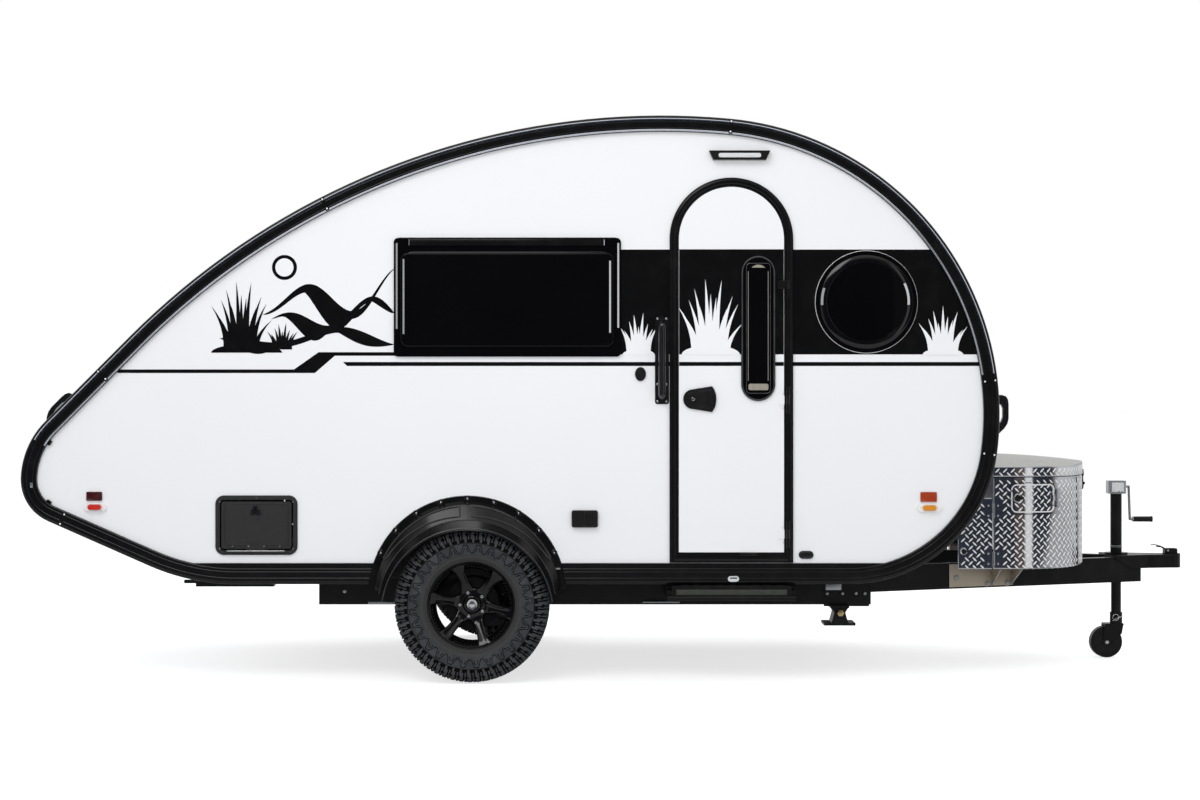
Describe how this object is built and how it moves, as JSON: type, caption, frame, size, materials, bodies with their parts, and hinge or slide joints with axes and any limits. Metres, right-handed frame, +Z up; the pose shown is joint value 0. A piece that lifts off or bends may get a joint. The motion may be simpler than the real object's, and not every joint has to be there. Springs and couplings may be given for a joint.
{
  "type": "teardrop trailer",
  "caption": "Single-axle teardrop camping trailer with an arched entry door, bowed side panels, edge trim, fenders, tread-plate front box and a wheeled tongue jack.",
  "frame": {"origin": "on the floor below the middle of the overall length and width", "axes": "+X towards the coupler, +Z up, -Y the entry door's side"},
  "size_m": [5.6426, 2.16, 2.661],
  "materials": {
    "white_panel": "gloss white laminate",
    "white_door": "gloss white laminate",
    "underbody": "dull black coating",
    "edge_trim": "satin black extrusion",
    "fender_black": "gloss black",
    "acrylic": "dark tinted acrylic",
    "door_frame": "satin black aluminium",
    "hatch_plastic": "grained black",
    "red_lens": "red lens",
    "amber_lens": "amber lens",
    "lamp_base": "bright base",
    "black_plastic": "black moulding",
    "vent_plastic": "white moulding",
    "chassis_black": "black coated steel",
    "cast_aluminium": "cast, satin",
    "zinc_steel": "zinc plated",
    "diamond_plate": "bright tread plate",
    "lid_aluminium": "brushed sheet",
    "tan_bracket": "beige coated steel",
    "tyre": "black rubber",
    "rim_black": "gloss black alloy",
    "hub_iron": "dark casting",
    "caster_plastic": "black moulding"
  },
  "bodies": {
    "trailer": {"wall_right": "white_panel", "wall_left": "white_panel", "floor_panel": "underbody", "front_shell": "white_panel", "roof_shell": "white_panel", "tail_shell": "white_panel", "edge_trim_right": "edge_trim", "edge_trim_left": "edge_trim", "wheel_tub_right": "underbody", "wheel_tub_left": "underbody", "fender_right": "fender_black", "fender_left": "fender_black", "side_windows": "acrylic", "porthole_windows": "acrylic", "end_windows": "acrylic", "door_frame": "door_frame", "hatch_frames": "hatch_plastic", "red_lenses": "red_lens", "amber_lenses": "amber_lens", "lamp_bases": "lamp_base", "porch_light": "black_plastic", "corner_handles": "black_plastic", "grab_bar": "black_plastic", "outlet_box": "black_plastic", "vent_base": "vent_plastic", "frame_rails": "chassis_black", "cross_members": "chassis_black", "tongue_rails": "chassis_black", "axle_beam": "chassis_black", "coupler": "chassis_black", "jack_tube": "chassis_black", "jack_head": "cast_aluminium", "jack_crank": "zinc_steel", "front_scissors": "chassis_black", "rear_steadies": "zinc_steel", "toolbox_tub": "diamond_plate", "toolbox_brackets": "tan_bracket", "step_guides": "chassis_black"},
    "wheel_right": {"tyre_right": "tyre", "rim_right": "rim_black", "hub_right": "hub_iron"},
    "wheel_left": {"tyre_left": "tyre", "rim_left": "rim_black", "hub_left": "hub_iron"},
    "entry_door": {"door_leaf": "white_door", "door_window": "acrylic", "door_handle": "black_plastic"},
    "hatch_right": {"hatch_door_right": "hatch_plastic"},
    "hatch_left": {"hatch_door_left": "hatch_plastic"},
    "box_lid": {"toolbox_lid": "lid_aluminium"},
    "box_wing_right": {"toolbox_wing_right": "diamond_plate"},
    "box_wing_left": {"toolbox_wing_left": "diamond_plate"},
    "box_hatch": {"toolbox_hatch": "diamond_plate"},
    "entry_step": {"step_tread": "chassis_black"},
    "roof_vent": {"vent_lid": "vent_plastic"},
    "jack_leg": {"jack_leg": "chassis_black"},
    "caster_fork": {"caster_fork": "chassis_black"},
    "caster_wheel": {"caster_wheel": "caster_plastic"}
  },
  "joints": [
    {"name": "wheel_right_spin", "type": "hinge", "parent": "trailer", "child": "wheel_right", "pos_m": [-0.733, -0.9325, 0.361], "axis": [0, 1, 0], "continuous": true},
    {"name": "wheel_left_spin", "type": "hinge", "parent": "trailer", "child": "wheel_left", "pos_m": [-0.733, 0.9325, 0.361], "axis": [0, 1, 0], "continuous": true},
    {"name": "entry_door_hinge", "type": "hinge", "parent": "trailer", "child": "entry_door", "pos_m": [0.731, -1.007, 1.31], "axis": [0, 0, 1], "range_deg": [0, 150]},
    {"name": "hatch_right_hinge", "type": "hinge", "parent": "trailer", "child": "hatch_right", "pos_m": [-1.729, -1.001, 0.61], "axis": [1, 0, 0], "range_deg": [0, 110]},
    {"name": "hatch_left_hinge", "type": "hinge", "parent": "trailer", "child": "hatch_left", "pos_m": [-1.729, 1.001, 0.61], "axis": [-1, 0, 0], "range_deg": [0, 110]},
    {"name": "box_lid_hinge", "type": "hinge", "parent": "trailer", "child": "box_lid", "pos_m": [1.741, 0, 1], "axis": [0, -1, 0], "range_deg": [0, 75]},
    {"name": "box_wing_right_hinge", "type": "hinge", "parent": "trailer", "child": "box_wing_right", "pos_m": [1.747, -0.658, 0.67], "axis": [0, 0, 1], "range_deg": [0, 120]},
    {"name": "box_wing_left_hinge", "type": "hinge", "parent": "trailer", "child": "box_wing_left", "pos_m": [1.747, 0.658, 0.67], "axis": [0, 0, -1], "range_deg": [0, 120]},
    {"name": "box_hatch_hinge", "type": "hinge", "parent": "trailer", "child": "box_hatch", "pos_m": [2.062, -0.5928, 0.839], "axis": [0, 0, 1], "range_deg": [0, 110]},
    {"name": "step_slide", "type": "slide", "parent": "trailer", "child": "entry_step", "axis": [0, -1, 0], "range_m": [0, 0.16]},
    {"name": "vent_lid_hinge", "type": "hinge", "parent": "trailer", "child": "roof_vent", "pos_m": [0.099, 0, 2.638], "axis": [0, 1, 0], "range_deg": [0, 60]},
    {"name": "jack_screw", "type": "slide", "parent": "trailer", "child": "jack_leg", "axis": [0, 0, 1], "range_m": [-0.25, 0.13]},
    {"name": "caster_swivel", "type": "hinge", "parent": "jack_leg", "child": "caster_fork", "pos_m": [2.4945, 0, 0.17], "axis": [0, 0, 1], "continuous": true},
    {"name": "caster_wheel_spin", "type": "hinge", "parent": "caster_fork", "child": "caster_wheel", "pos_m": [2.4405, 0, 0.08], "axis": [0, 1, 0], "continuous": true}
  ]
}
